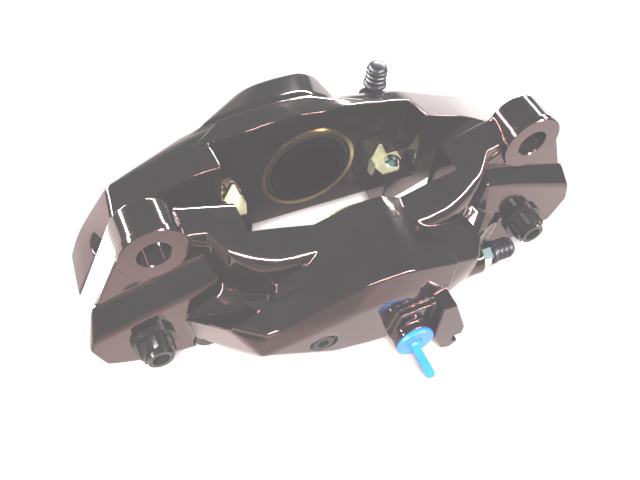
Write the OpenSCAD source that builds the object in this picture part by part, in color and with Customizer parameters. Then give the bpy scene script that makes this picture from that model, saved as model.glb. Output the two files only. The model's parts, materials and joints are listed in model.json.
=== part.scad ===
// Fixed, opposed two-piston brake caliper with two mounting ears.
// X runs along the caliper, Y from the inboard half to the outboard half,
// Z towards the hub. The origin is midway between the two ear holes, on the
// plane of their machined faces.

/* [Mounting ears] */
// Distance between the two mounting holes
mount_spacing = 182; // [176:1:188]
// Diameter of a mounting hole
mount_hole_d = 14.2; // [12.2:0.2:15]
// Diameter of the machined collar round a mounting hole
ear_collar_d = 30; // [28:1:31]

/* [Disc slot] */
// Inboard wall of the disc slot
slot_y = 18.5; // [18:0.5:19]
// Width of the disc slot
slot_w = 13; // [12:0.5:15]
// Radius of the slot floor about the disc axis
disc_clear_r = 127; // [125:1:128]

/* [Pistons] */
// Piston diameter
piston_d = 40; // [38:1:41]
// Piston length
piston_len = 27; // [26:1:28]
// Running clearance on the piston radius
piston_clear = 0.05; // [0.03:0.01:0.08]

/* [Pad pocket] */
// Depth of a pad pocket behind the slot wall
pocket_depth = 17.5; // [17:0.5:18]
// Half width of the pocket above the pad ledges
pocket_half = 51; // [50:0.5:52]
// Half width of the crown window below the pad ledges
window_half = 36; // [35:0.5:37]

/* [Fasteners] */
// Thread diameter of the four body bolts
body_bolt_d = 10; // [9:0.5:11]
// Distance between the two outer body bolts
outer_bolt_spacing = 195; // [192:1:198]
// Distance between the two inner body bolts
inner_bolt_spacing = 142; // [140:1:144]

/* [Hidden] */
$fn = 64;

eps = 0.01;
far_y = slot_y + slot_w;              // outboard wall of the disc slot
mid_y = slot_y + slot_w / 2;          // middle plane of the disc
disc_z = 66;                          // height of the disc axis above the origin
ear_x = mount_spacing / 2;
ear_cast_r = ear_collar_d / 2 - 1;
collar_h = 3.5;                       // thickness of the machined collar

piston_z = -32.5;
piston_r = piston_d / 2;
bore_r = piston_r + piston_clear;
near_floor_y = slot_y - pocket_depth;
far_floor_y = far_y + pocket_depth;
bore_depth = 28;                      // measured from the pocket floor
piston_proud = 2.5;                   // rest height of the piston above the floor
seal_y = 9;                           // pressure seal groove below the pocket floor
seal_w = 3;
seal_wall = 3.2;
boot_r = 24;                          // counterbore that holds the dust boot
boot_depth = 4.6;

ledge_z = -39;                        // pad ledge, where the abutment plates sit
floor_top_z = 30;                     // clears everything above the pockets

crown_half = 44;                      // relief under the outboard piston
crown_relief_z = -66;

wall_y = 2;                           // inboard face of the wall below the ears
pad_y = -6;                           // machined seat of the outer bolt heads
front_y = -36;                        // foremost face of the inboard housing
back_y = 85.5;                        // outermost face of the outboard housing

outer_bolt = [outer_bolt_spacing / 2, -51];
inner_bolt = [inner_bolt_spacing / 2, -65];
bolt_clear_r = body_bolt_d / 2 + 0.5;
thread_y = 56;                        // depth that the body bolts reach
flange_r = 10;

crossover = [84, -62];                // brake fluid passage past the disc edge
passage_r = 1.6;

inlet = [14, -58];                    // inlet port in the inboard housing
inlet_tip_y = -46;
inlet_r = 5;

plug_seat = [-29, -50];               // sealing screw in the front of the housing

plate_t = 1;                          // abutment plates on the pad ledges
plate_w = 12;
plate_y = near_floor_y + 0.4;
plate_rise = 19;
plate_drop = 9;
screw_x = 45.3;
screw_y = plate_y + plate_w / 2;
screw_len = 11;

near_bleed = [62, -20, -50];          // mouth of the inboard bleed port, facing +X
far_bleed = [47, 74, -20];            // mouth of the outboard bleed port, facing +Z
bleed_thread_r = 4;

black = [0.06, 0.06, 0.065];
steel = [0.75, 0.76, 0.78];
dark_steel = [0.16, 0.15, 0.15];
gold = [0.78, 0.66, 0.36];
rubber = [0.1, 0.1, 0.11];
plug_blue = [0.1, 0.62, 0.95];

// ---- helpers -------------------------------------------------------------

// outline in X and Z, extruded from y0 to y1
module slab_y(y0, y1) translate([0, y1, 0]) rotate([90, 0, 0]) linear_extrude(y1 - y0) children();

module cyl_y(x, z, r, y0, y1, r1 = undef)
  translate([x, y1, z]) rotate([90, 0, 0]) cylinder(h = y1 - y0, r1 = is_undef(r1) ? r : r1, r2 = r);

module cyl_x(y, z, r, x0, x1) translate([x0, y, z]) rotate([0, 90, 0]) cylinder(h = x1 - x0, r = r);

// ring about the Y axis through the piston centre
module piston_ring(r_in, r_out, y0, y1)
  difference() {
    cyl_y(0, piston_z, r_out, y0, y1);
    cyl_y(0, piston_z, r_in, y0 - 1, y1 + 1);
  }

// child and its mirror image at the other end
module both_ends() {
  children();
  mirror([1, 0, 0]) children();
}

// the mirror image across the middle plane of the disc
module across_disc() translate([0, 2 * mid_y, 0]) mirror([0, 1, 0]) children();

// straight drilling between two points
module drilling(from, to, r) {
  d = to - from;
  len = norm(d);
  translate(from)
    rotate([0, acos(d[2] / len), atan2(d[1], d[0])])
      cylinder(h = len, r = r, $fn = 24);
}

// ---- inboard half --------------------------------------------------------

// wall below the ear, flaring towards the inboard side
module near_end_wall()
  hull() {
    slab_y(slot_y - eps, slot_y) polygon([[60, -9], [86, 8], [101, -8], [118, -50], [121, -58], [60, -70]]);
    slab_y(wall_y, wall_y + eps) polygon([[60, -12], [84, 4], [106, 2], [118.5, -26], [121, -58], [60, -66]]);
  }

// thick lower band that carries the outer bolt seat
module near_end_band()
  hull() {
    slab_y(slot_y - eps, slot_y)
      polygon([[60, -30], [108, -28], [118, -50], [121, -58], [101, -69], [60, -76]]);
    slab_y(wall_y - eps, wall_y) polygon([[68, -15], [84, -28], [118, -27], [121, -58], [60, -70]]);
    slab_y(pad_y, pad_y + eps)
      polygon([[76, -34], [90, -39], [122, -39], [125, -46], [119, -61], [101, -68], [72, -71]]);
  }

// arm from the ear down to the housing
module near_arm() {
  slab_y(4, slot_y) polygon([[58, -10], [60, -2], [74, 8], [84, 12], [92, -6], [80, -12]]);
  slab_y(-4, slot_y) polygon([[50, -20], [52, -6], [60, -2], [68, 2], [72, -10], [64, -18]]);
  slab_y(-9, slot_y) polygon([[46, -22], [48, -8], [56, -5], [60, -9], [58, -20]]);
  slab_y(-14, slot_y) polygon([[20, -26], [24, -14], [36, -12], [50, -9], [52, -24]]);
}

module near_housing() {
  hull() {
    cyl_y(0, piston_z, 26.5, -26, slot_y, $fn = 32);
    slab_y(front_y, front_y + eps)
      polygon([[-58, -44], [-35, -46], [-8, -35], [7, -34], [21, -38], [36, -44], [30, -62], [4, -66],
               [-22, -63]]);
    translate([0, -32, 0])
      slab_y(0, eps)
        polygon([[-54, -33], [-26, -28], [-18, -23], [-8, -20], [7, -19.5], [21, -23], [40, -28],
                 [40, -50], [-55, -50]]);
    slab_y(-14, slot_y) polygon([[-44, -22], [-22, -12], [24, -10], [46, -18], [48, -60], [-46, -60]]);
  }
  // wing that carries the fluid passage towards the left end
  hull() {
    slab_y(-33, -33 + eps) polygon([[-55, -33], [-30, -28], [-30, -60], [-58, -45]]);
    slab_y(-22, slot_y) polygon([[-70, -31], [-46, -26], [-40, -60], [-71, -48]]);
    slab_y(-6, slot_y) polygon([[-84, -40], [-70, -30], [-40, -30], [-40, -70], [-84, -66]]);
  }
  slab_y(-16, slot_y) polygon([[20, -34], [46, -22], [56, -28], [62, -58], [40, -72], [0, -75], [0, -50]]);
}

module inlet_boss() {
  cyl_y(inlet[0], inlet[1], 9.4, inlet_tip_y, -20);
  slab_y(-42, -20) polygon([[4, -58], [6, -40], [30, -38], [34, -60], [22, -66]]);
  // hose bracket lug beside the inlet
  slab_y(-48, -30)
    polygon([[24, -36], [31, -36], [41, -60], [41, -66], [36, -66], [36, -70], [40, -72], [36, -76],
             [31, -74], [24, -60]]);
}

module near_bleed_boss() cyl_x(near_bleed[1], near_bleed[2], 8, 30, near_bleed[0]);

module near_bleed_port() {
  cyl_x(near_bleed[1], near_bleed[2], bleed_thread_r + 0.05, near_bleed[0] - 14, near_bleed[0] + 1);
  drilling([near_bleed[0] - 13, near_bleed[1], near_bleed[2]], [near_bleed[0] - 26, near_bleed[1],
      piston_z], passage_r);
}

// space for the pads of one half, with the screw holes in its ledges
module near_pocket() {
  slab_y(near_floor_y, slot_y + 1)
    polygon([
      [-pocket_half, floor_top_z], [-pocket_half, ledge_z], [-window_half, ledge_z], [-window_half, -90],
      [window_half, -90], [window_half, ledge_z], [pocket_half, ledge_z], [pocket_half, floor_top_z]
    ]);
  both_ends()
    translate([screw_x, screw_y, ledge_z + plate_t - screw_len - 1]) cylinder(h = screw_len + 1, r = 2.05);
}

module near_bore() {
  cyl_y(0, piston_z, bore_r, near_floor_y - bore_depth, near_floor_y + 1);
  piston_ring(bore_r - 1, bore_r + seal_wall, near_floor_y - seal_y - seal_w, near_floor_y - seal_y);
  cyl_y(0, piston_z, boot_r, near_floor_y - boot_depth, near_floor_y + 1);
}

module inboard_half()
  color(black)
    difference() {
      union() {
        both_ends() {
          cyl_y(ear_x, 0, ear_collar_d / 2, 0, collar_h);
          cyl_y(ear_x, 0, ear_cast_r, collar_h - 1, slot_y);
          near_end_wall();
          near_end_band();
          near_arm();
        }
        near_housing();
        inlet_boss();
        near_bleed_boss();
      }
      near_pocket();
      near_bore();
      // crown follows the disc above the spacers
      cyl_y(0, disc_z, disc_clear_r, slot_y, slot_y + 1);
      both_ends() {
        cyl_y(ear_x, 0, mount_hole_d / 2, -1, slot_y + 1);
        cyl_y(outer_bolt[0], outer_bolt[1], bolt_clear_r, -20, slot_y + 1);
        cyl_y(inner_bolt[0], inner_bolt[1], bolt_clear_r, -20, slot_y + 1);
        cyl_y(inner_bolt[0], inner_bolt[1], 8.2, -40, 4);
      }
      cyl_y(inlet[0], inlet[1], inlet_r, inlet_tip_y - 1, inlet_tip_y + 13);
      drilling([inlet[0], inlet_tip_y + 12, inlet[1]], [10, -27, -46], passage_r);
      cyl_y(plug_seat[0], plug_seat[1], 5.35, front_y - 2, front_y + 9);
      drilling([plug_seat[0], front_y + 8, plug_seat[1]], [-12, -26, -42], passage_r);
      near_bleed_port();
      drilling([-12, -26, -42], [-crossover[0], 8, crossover[1]], passage_r);
      cyl_y(-crossover[0], crossover[1], passage_r, 6, slot_y + 1);
    }

// ---- outboard half -------------------------------------------------------

module far_body()
  hull() {
    slab_y(far_y, far_y + eps)
      polygon([[-101, -11], [-78, -1], [-60, 4], [48, 4], [73, -5], [86, -12], [101, -21], [122, -57],
               [118, -63], [101, -69],
               [46, -77], [-46, -77], [-101, -69], [-118, -63], [-122, -57]]);
    slab_y(60, 60 + eps)
      polygon([[-97, -20], [-57, -2], [-30, 3], [0, 4], [52, -6], [90, -21], [101, -28], [114, -46],
               [118, -60], [46, -75], [-46, -75], [-118, -60], [-112, -46]]);
    slab_y(66, 66 + eps)
      polygon([[-94, -24], [-56, -6], [56, -12], [90, -25], [108, -46], [114, -60], [101, -65],
               [46, -72], [-46, -72], [-101, -65], [-114, -60], [-108, -46]]);
  }

// raised rim above the piston
module far_rim()
  hull() {
    slab_y(far_floor_y, far_floor_y + eps)
      polygon([[-58, 0], [-26, 4.5], [-12, 6], [-3, 4], [36, 1], [36, -20], [-58, -20]]);
    slab_y(58, 66) polygon([[-42, 1.5], [-24, 3.5], [2, 3.5], [14, -4], [14, -30], [-42, -30]]);
  }

module far_housing()
  hull() {
    slab_y(64, 66) polygon([[-50, -3], [-24, 3], [2, 3], [14, -2], [24, -10], [30, -58], [-52, -60]]);
    cyl_y(0, piston_z, 26, 60, 79, $fn = 32);
    slab_y(back_y, back_y + eps)
      polygon([[-22, -10], [-16, -7], [13, -7], [18, -12], [21, -40], [10, -56], [-14, -56],
               [-26, -42]]);
  }

// post for the outboard bleed screw, behind the rim, and the web that carries its passage
module far_bleed_boss() {
  translate([far_bleed[0], far_bleed[1], -62]) cylinder(h = far_bleed[2] + 62, r = 7.5);
  translate([far_bleed[0] - 7.5, 62, -62]) cube([15, far_bleed[1] - 62, far_bleed[2] + 62]);
  translate([20, 62, -48]) cube([far_bleed[0] - 20, 17, 22]);
}

module far_bleed_port() {
  translate(far_bleed + [0, 0, -14]) cylinder(h = 15, r = bleed_thread_r + 0.05);
  drilling(far_bleed + [0, 0, -13], [17, far_bleed[1], piston_z], passage_r);
}

module far_pocket() across_disc() near_pocket();

module far_bore() across_disc() near_bore();

module outboard_half()
  color(black)
    difference() {
      union() {
        far_body();
        far_rim();
        far_housing();
        far_bleed_boss();
      }
      far_pocket();
      far_bore();
      // crown relief between the bolt bands
      translate([-crown_half, far_y - 1, -90]) cube([2 * crown_half, 60, crown_relief_z + 90]);
      both_ends() {
        cyl_y(outer_bolt[0], outer_bolt[1], body_bolt_d / 2 + 0.05, far_y - 1, thread_y + 3);
        cyl_y(inner_bolt[0], inner_bolt[1], body_bolt_d / 2 + 0.05, far_y - 1, thread_y + 3);
      }
      far_bleed_port();
      cyl_y(-crossover[0], crossover[1], passage_r, far_y - 1, 46);
      drilling([-crossover[0], 45, crossover[1]], [-12, 76, -42], passage_r);
    }

// ---- spacers -------------------------------------------------------------

// block between the halves that sets the slot width, hollowed to the disc
module end_spacer()
  difference() {
    slab_y(slot_y, far_y)
      polygon([[window_half + 1, -30], [80, -8], [101, -8], [109, -28], [118, -50], [121.5, -58], [118, -63],
               [101, -69], [window_half + 1, -77]]);
    cyl_y(0, disc_z, disc_clear_r, slot_y - 1, far_y + 1, $fn = 180);
    cyl_y(outer_bolt[0], outer_bolt[1], bolt_clear_r, slot_y - 1, far_y + 1);
    cyl_y(inner_bolt[0], inner_bolt[1], bolt_clear_r, slot_y - 1, far_y + 1);
  }

// counterbores for the fluid seals
module crossover_bore() {
  cyl_y(crossover[0], crossover[1], passage_r, slot_y - 1, far_y + 1);
  cyl_y(crossover[0], crossover[1], 4, slot_y - 1, slot_y + 1.6);
  cyl_y(crossover[0], crossover[1], 4, far_y - 1.6, far_y + 1);
}

module left_spacer()
  color(steel)
    mirror([1, 0, 0])
      difference() {
        end_spacer();
        crossover_bore();
      }

module right_spacer() color(steel) end_spacer();

// ---- pistons and their seals ---------------------------------------------

piston_y = near_floor_y + piston_proud;

// steel cup, open towards the pad, with a groove for the boot lip
module near_piston()
  difference() {
    cyl_y(0, piston_z, piston_r, piston_y - piston_len, piston_y);
    cyl_y(0, piston_z, piston_r - 4.5, piston_y - piston_len + 6, piston_y + 1);
    piston_ring(piston_r - 1.4, piston_r + 1, piston_y - 2.6, piston_y - 1.2);
  }

module inboard_piston() color(steel) near_piston();

module outboard_piston() color(steel) across_disc() near_piston();

module near_seal()
  piston_ring(piston_r + 0.02, bore_r + seal_wall - 0.08,
              near_floor_y - seal_y - seal_w + 0.1, near_floor_y - seal_y - 0.1);

module inboard_piston_seal() color(rubber) near_seal();

module outboard_piston_seal() color(rubber) across_disc() near_seal();

// rubber boot in the counterbore, with one fold that stands up to the piston rim
module near_boot()
  translate([0, near_floor_y, piston_z])
    rotate([90, 0, 0])
      rotate_extrude()
        polygon([
          [piston_r + 0.4, 4.4], [boot_r - 0.1, 4.4], [boot_r - 0.1, 1.2], [boot_r - 1, 0.2],
              [boot_r - 1.8, 1],
          [boot_r - 1.8, 3.2], [piston_r + 1.6, 3.2], [piston_r + 1.6, -0.4], [piston_r + 0.4, -0.4]
        ]);

module inboard_dust_boot() color(rubber) near_boot();

module outboard_dust_boot() color(rubber) across_disc() near_boot();

// pressed ring that holds the boot in its counterbore
module near_boot_ring()
  translate([0, near_floor_y, piston_z])
    rotate([90, 0, 0])
      rotate_extrude()
        polygon([
          [boot_r - 1.7, 0.1], [boot_r - 1, -0.8], [boot_r + 0.9, -0.8], [boot_r + 0.9, -0.02],
          [boot_r - 0.1, -0.02], [boot_r - 0.1, 1], [boot_r - 1, 0.1]
        ]);

module inboard_boot_ring() color(gold) near_boot_ring();

module outboard_boot_ring() color(gold) across_disc() near_boot_ring();

// ---- body bolts ----------------------------------------------------------

// star outline for the twelve-point bolt heads
module twelve_point(r_out, r_in)
  polygon([for (i = [0 : 23]) let (r = i % 2 == 0 ? r_out : r_in) [r * cos(i * 15), r * sin(i * 15)]]);

// flanged head with twelve points and a hollow end
module flange_head(seat_y) {
  cyl_y(0, 0, flange_r, seat_y - 2.6, seat_y);
  difference() {
    union() {
      slab_y(seat_y - 9, seat_y - 2) twelve_point(8, 6.9);
      cyl_y(0, 0, 5.9, seat_y - 11.5, seat_y - 8);
    }
    cyl_y(0, 0, 3.9, seat_y - 12, seat_y - 6);
  }
}

module outer_body_bolts()
  color(dark_steel)
    both_ends()
      translate([outer_bolt[0], 0, outer_bolt[1]]) {
        flange_head(pad_y);
        cyl_y(0, 0, body_bolt_d / 2, pad_y, thread_y);
      }

module inner_body_bolts()
  color(dark_steel)
    both_ends()
      translate([inner_bolt[0], 0, inner_bolt[1]])
        difference() {
          union() {
            cyl_y(0, 0, 7.5, -6, 4);
            cyl_y(0, 0, body_bolt_d / 2, 4, thread_y);
          }
          rotate([90, 0, 0]) cylinder(h = 7, r = 4.6, $fn = 6);
        }

module crossover_seals()
  color(rubber)
    for (y0 = [slot_y + 0.02, far_y - 1.58])
      difference() {
        cyl_y(-crossover[0], crossover[1], 3.9, y0, y0 + 1.56);
        cyl_y(-crossover[0], crossover[1], 2.1, y0 - 1, y0 + 3);
      }

module passage_plug()
  color(dark_steel)
    difference() {
      cyl_y(plug_seat[0], plug_seat[1], 5.3, front_y - 0.8, front_y + 8);
      translate([plug_seat[0], front_y + 4, plug_seat[1]]) rotate([90, 0, 0])
        cylinder(h = 6, r = 2.9, $fn = 6);
    }

// ---- abutment plates -----------------------------------------------------

// stainless plate on the pad ledge, bent up along the pocket wall and down into the window
module near_abutment() {
  difference() {
    translate([window_half - plate_t, plate_y, ledge_z]) cube([pocket_half - window_half + plate_t,
        plate_w, plate_t]);
    translate([screw_x, screw_y, ledge_z - 1]) cylinder(h = 4, r = 2.1);
  }
  translate([pocket_half - plate_t, plate_y, ledge_z]) cube([plate_t, plate_w, plate_rise]);
  translate([window_half - plate_t, plate_y, ledge_z - plate_drop])
    cube([plate_t, plate_w, plate_drop + plate_t]);
}

module inboard_right_abutment() color(gold) near_abutment();

module inboard_left_abutment() color(gold) mirror([1, 0, 0]) near_abutment();

module outboard_right_abutment() color(gold) across_disc() near_abutment();

module outboard_left_abutment() color(gold) mirror([1, 0, 0]) across_disc() near_abutment();

// domed screw with a hexagon socket
module abutment_screw()
  translate([screw_x, screw_y, ledge_z + plate_t + 0.03])
    difference() {
      union() {
        intersection() {
          cylinder(h = 3, r = 4.4);
          translate([0, 0, -3.2]) sphere(r = 5.8);
        }
        translate([0, 0, -screw_len]) cylinder(h = screw_len + eps, r = 2);
      }
      translate([0, 0, 1]) cylinder(h = 3, r = 1.8, $fn = 6);
    }

module abutment_screws()
  color(steel)
    both_ends() {
      abutment_screw();
      across_disc() abutment_screw();
    }

// ---- bleed screws, caps and inlet plug -------------------------------------

// pointed screw with a hexagon and a hose barb, along +Z from the port mouth
module bleed_screw()
  difference() {
    union() {
      translate([0, 0, -13]) cylinder(h = 3, r1 = 1, r2 = bleed_thread_r);
      translate([0, 0, -10]) cylinder(h = 11, r = bleed_thread_r);
      translate([0, 0, 0.5]) cylinder(h = 6, r = 5.2, $fn = 6);
      translate([0, 0, 6]) cylinder(h = 7, r = 2.6);
      translate([0, 0, 13]) cylinder(h = 3, r1 = 3.6, r2 = 2.4);
    }
    translate([0, 0, -6]) cylinder(h = 30, r = 1);
  }

module bleed_cap()
  difference() {
    union() {
      translate([0, 0, 7]) cylinder(h = 11, r = 5.4);
      translate([0, 0, 17.5]) cylinder(h = 3, r1 = 5.4, r2 = 3.8);
      translate([0, 0, 7]) cylinder(h = 2.4, r = 6);
    }
    translate([0, 0, 6]) cylinder(h = 10.6, r = 3.75);
  }

// turns a part built along +Z to lie along +X at the inboard port
module at_near_bleed() translate(near_bleed) rotate([0, 90, 0]) children();

module inboard_bleed_screw() color(steel) at_near_bleed() bleed_screw();

module outboard_bleed_screw() color(steel) translate(far_bleed) bleed_screw();

module inboard_bleed_cap() color(rubber) at_near_bleed() bleed_cap();

module outboard_bleed_cap() color(rubber) translate(far_bleed) bleed_cap();

// transit plug with a flange and a pull tab
module inlet_plug()
  color(plug_blue)
    translate([inlet[0], inlet_tip_y, inlet[1]])
      rotate([90, 0, 0])
        union() {
          translate([0, 0, -9]) cylinder(h = 9, r1 = 4, r2 = 4.8);
          cylinder(h = 2.2, r = 8.8);
          translate([-2.2, -5, 2]) cube([4.4, 2.4, 18]);
        }

inboard_half();
outboard_half();
left_spacer();
right_spacer();
inboard_piston();
outboard_piston();
inboard_piston_seal();
outboard_piston_seal();
inboard_dust_boot();
outboard_dust_boot();
inboard_boot_ring();
outboard_boot_ring();
outer_body_bolts();
inner_body_bolts();
crossover_seals();
passage_plug();
inboard_left_abutment();
inboard_right_abutment();
outboard_left_abutment();
outboard_right_abutment();
abutment_screws();
inboard_bleed_screw();
outboard_bleed_screw();
inboard_bleed_cap();
outboard_bleed_cap();
inlet_plug();
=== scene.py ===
"""Looks for a fixed two-piston brake caliper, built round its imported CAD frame.

Sizes are in millimetres in the code, in the CAD's own frame, and turn into metres when a mesh is made.
The two castings are worked out as signed distance fields, so that cast corners are round and
walls run into each other in fillets, and the machined bores are then cut with exact tools.
"""

import json
import math

import bmesh
import bpy
import numpy as np
from mathutils import Matrix, Vector

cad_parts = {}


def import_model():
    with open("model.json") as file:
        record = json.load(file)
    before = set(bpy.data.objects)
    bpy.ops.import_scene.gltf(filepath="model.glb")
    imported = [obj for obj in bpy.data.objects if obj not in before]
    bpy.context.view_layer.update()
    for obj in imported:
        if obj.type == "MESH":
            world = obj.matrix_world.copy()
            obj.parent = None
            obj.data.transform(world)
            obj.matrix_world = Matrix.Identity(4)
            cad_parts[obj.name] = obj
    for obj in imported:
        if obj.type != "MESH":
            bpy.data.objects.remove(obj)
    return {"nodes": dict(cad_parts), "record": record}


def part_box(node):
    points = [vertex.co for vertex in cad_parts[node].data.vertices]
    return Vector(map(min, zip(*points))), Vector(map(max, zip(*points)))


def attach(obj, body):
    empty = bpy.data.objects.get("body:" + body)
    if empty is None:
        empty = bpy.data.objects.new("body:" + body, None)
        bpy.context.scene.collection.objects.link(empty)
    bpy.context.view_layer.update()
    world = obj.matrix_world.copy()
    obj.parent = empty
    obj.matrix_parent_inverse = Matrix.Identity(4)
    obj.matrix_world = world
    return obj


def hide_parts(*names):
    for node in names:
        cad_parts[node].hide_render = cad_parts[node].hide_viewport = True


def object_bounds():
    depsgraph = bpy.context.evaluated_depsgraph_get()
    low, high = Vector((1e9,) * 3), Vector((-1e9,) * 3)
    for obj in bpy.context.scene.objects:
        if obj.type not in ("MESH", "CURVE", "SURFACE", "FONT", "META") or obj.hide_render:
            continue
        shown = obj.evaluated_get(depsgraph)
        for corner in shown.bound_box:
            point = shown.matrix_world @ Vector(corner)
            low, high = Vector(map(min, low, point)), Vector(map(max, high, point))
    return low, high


MM = 0.001
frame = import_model()
cad_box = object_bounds()
nodes = frame["nodes"]


def cad_box_mm(node):
    """Lowest and highest corner of a CAD node, in millimetres."""
    low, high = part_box(node)
    return np.array(low) / MM, np.array(high) / MM


# ---- driving dimensions: read off the CAD parts where a part gives them ---------

spacer_low, spacer_high = cad_box_mm("right_spacer")
SLOT_Y = spacer_low[1]                      # inboard wall of the disc slot
FAR_Y = spacer_high[1]                      # outboard wall of the disc slot
MID_Y = (SLOT_Y + FAR_Y) / 2                # middle plane of the disc
piston_low, piston_high = cad_box_mm("inboard_piston")
PISTON_Z = (piston_low[2] + piston_high[2]) / 2
PISTON_R = (piston_high[0] - piston_low[0]) / 2
ring_low, ring_high = cad_box_mm("inboard_boot_ring")
RING_FLANGE = 0.9                           # how far the boot ring stands out past its counterbore
BOOT_R = (ring_high[0] - ring_low[0]) / 2 - RING_FLANGE
bolts_low, bolts_high = cad_box_mm("outer_body_bolts")
FLANGE_R = 10.0                             # flange of an outer bolt
OUTER_BOLT_X = bolts_high[0] - FLANGE_R
OUTER_BOLT_Z = (bolts_low[2] + bolts_high[2]) / 2
inner_low, inner_high = cad_box_mm("inner_body_bolts")
INNER_HEAD_R = 7.5                          # head of an inner bolt
INNER_BOLT_X = inner_high[0] - INNER_HEAD_R
INNER_BOLT_Z = (inner_low[2] + inner_high[2]) / 2
EAR_X = frame["record"]["mounts"][0]["dims"]["spacing_x_mm"] / 2
EAR_HOLE_R = frame["record"]["mounts"][0]["dims"]["hole_r_mm"]
INLET = np.array(frame["record"]["mounts"][2]["pos_m"]) / MM
SCREW_TIP = 13.0                            # how far a bleed screw reaches in past its port's mouth

POCKET_FLOOR_Y = 1.0                        # inboard pocket floor; the outboard one mirrors it
POCKET_HALF = 51.0                          # half length of the pad pocket
WINDOW_HALF = 36.0                          # half length of the crown window below it
LEDGE_Z = -39.0                             # ledges that the pad ears slide on
BORE_DEPTH = 27.6                           # piston bore, from the pocket floor
BOOT_DEPTH = 4.6                            # wider mouth of the bore, which holds the boot
EAR_R = 15.0                                # machined collar round an ear hole
BOLT_CLEARANCE_R = 5.5                      # clearance hole of a body bolt
THREAD_R = 5.05                             # threaded hole of a body bolt
PORT_R = 5.0                                # threaded hole of the inlet
SEALING_SCREW_R = 5.35                      # hole of the screw that seals the drilled passage
BOSS_R = 8.0                                # boss of the inboard bleed port
POST_R = 7.5                                # post of the outboard bleed port
STEP = 0.55         # grid of the distance fields
INBOARD_TRIANGLES = 170000
OUTBOARD_TRIANGLES = 150000


# ---- signed distance fields ---------------------------------------------------


def smooth_max(a, b, r):
    """The larger of two fields, with a round of radius r where they cross."""
    return np.minimum(np.maximum(a, b), -r) + np.hypot(np.maximum(a + r, 0), np.maximum(b + r, 0))


def smooth_min(a, b, r):
    """The smaller of two fields, with a fillet of radius r where they cross."""
    return -smooth_max(-a, -b, r)


def culled(field, low, high, reach=9.0):
    """The field, worked out only near its box; further away the distance to the box stands in."""
    low = np.asarray(low, np.float32)
    high = np.asarray(high, np.float32)

    def evaluate(p):
        outside = np.maximum(np.maximum(low - p, p - high), 0)
        bound = np.sqrt((outside**2).sum(1))
        near = bound < reach
        out = bound.copy()
        if near.any():
            out[near] = field(p[near])
        return out

    return evaluate


def hull_planes(points):
    """Outward normals and offsets of the faces of a convex hull."""
    bm = bmesh.new()
    for p in points:
        bm.verts.new(p)
    hull = bmesh.ops.convex_hull(bm, input=bm.verts)
    middle = np.mean(np.array(points, float), 0)
    planes = {}
    for face in (g for g in hull["geom"] if isinstance(g, bmesh.types.BMFace)):
        face.normal_update()
        normal = np.array(face.normal)
        offset = float(normal @ np.array(face.verts[0].co))
        if normal @ middle > offset:
            normal, offset = -normal, -offset
        planes[tuple(np.round(normal, 3)) + (round(offset, 1),)] = (normal, offset)
    bm.free()
    return [planes[k] for k in sorted(planes)]


def convex(points, r):
    """Convex solid through the points, its edges rounded to r."""
    planes = hull_planes(points)
    points = np.array(points, float)

    def field(p):
        d = None
        for normal, offset in planes:
            e = p @ normal.astype(np.float32) - np.float32(offset)
            d = e if d is None else smooth_max(d, e, r)
        return d

    return culled(field, points.min(0), points.max(0))


def sections(*parts):
    """Points of outlines in X and Z, each at its own Y: (y, [(x, z), ...])."""
    return [(x, y, z) for y, outline in parts for x, z in outline]


def outline_distance(u, v, outline):
    """Signed distance in a plane to a closed outline, negative inside."""
    count = len(outline)
    best = np.full(u.shape, 1e9, np.float32)
    inside = np.zeros(u.shape, bool)
    for i in range(count):
        (ax, ay), (bx, by) = outline[i], outline[(i + 1) % count]
        ex, ey = bx - ax, by - ay
        wx, wy = u - ax, v - ay
        t = np.clip((wx * ex + wy * ey) / (ex * ex + ey * ey), 0, 1)
        best = np.minimum(best, (wx - ex * t) ** 2 + (wy - ey * t) ** 2)
        crosses = ((ay > v) != (by > v)) & (u < ex * (v - ay) / (ey if ey else 1e-9) + ax)
        inside ^= crosses
    return np.where(inside, -1, 1) * np.sqrt(best)


def prism(outline, axis, low, high, r):
    """Outline extruded along an axis (0, 1 or 2), its rims rounded to r."""
    a, b = [i for i in range(3) if i != axis]
    pts = np.array(outline, float)
    lows, highs = np.zeros(3), np.zeros(3)
    lows[[a, b]], highs[[a, b]] = pts.min(0), pts.max(0)
    lows[axis], highs[axis] = low, high

    def field(p):
        flat = outline_distance(p[:, a], p[:, b], outline)
        slab = np.maximum(low - p[:, axis], p[:, axis] - high)
        return smooth_max(flat, slab, r)

    return culled(field, lows, highs)


def rod(start, end, radius, r):
    """Round bar between two points, its ends rounded to r."""
    start, end = np.array(start, np.float32), np.array(end, np.float32)
    length = float(np.linalg.norm(end - start))
    axis = (end - start) / length

    def field(p):
        rel = p - start
        along = rel @ axis
        painted_shadow_across = np.sqrt(np.maximum((rel**2).sum(1) - along**2, 0)) - radius
        return smooth_max(painted_shadow_across, np.maximum(-along, along - length), r)

    spread = radius * np.sqrt(np.maximum(1 - axis**2, 0))
    return culled(field, np.minimum(start, end) - spread, np.maximum(start, end) + spread)


def mirrored(field):
    """The field and its mirror image at the other end of the caliper."""

    def both(p):
        q = p.copy()
        q[:, 0] = np.abs(q[:, 0])
        return field(q)

    return both


def merged(*steps):
    """Union of (field, fillet radius) pairs, in order."""

    def field(p):
        total = None
        for part, r in steps:
            d = part(p)
            total = d if total is None else smooth_min(total, d, r)
        return total

    return field


def carved(body, *steps):
    """The body less each (field, edge radius) pair."""

    def field(p):
        d = body(p)
        for part, r in steps:
            d = smooth_max(d, -part(p), r)
        return d

    return field


# ---- from a field to a mesh -----------------------------------------------------


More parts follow.
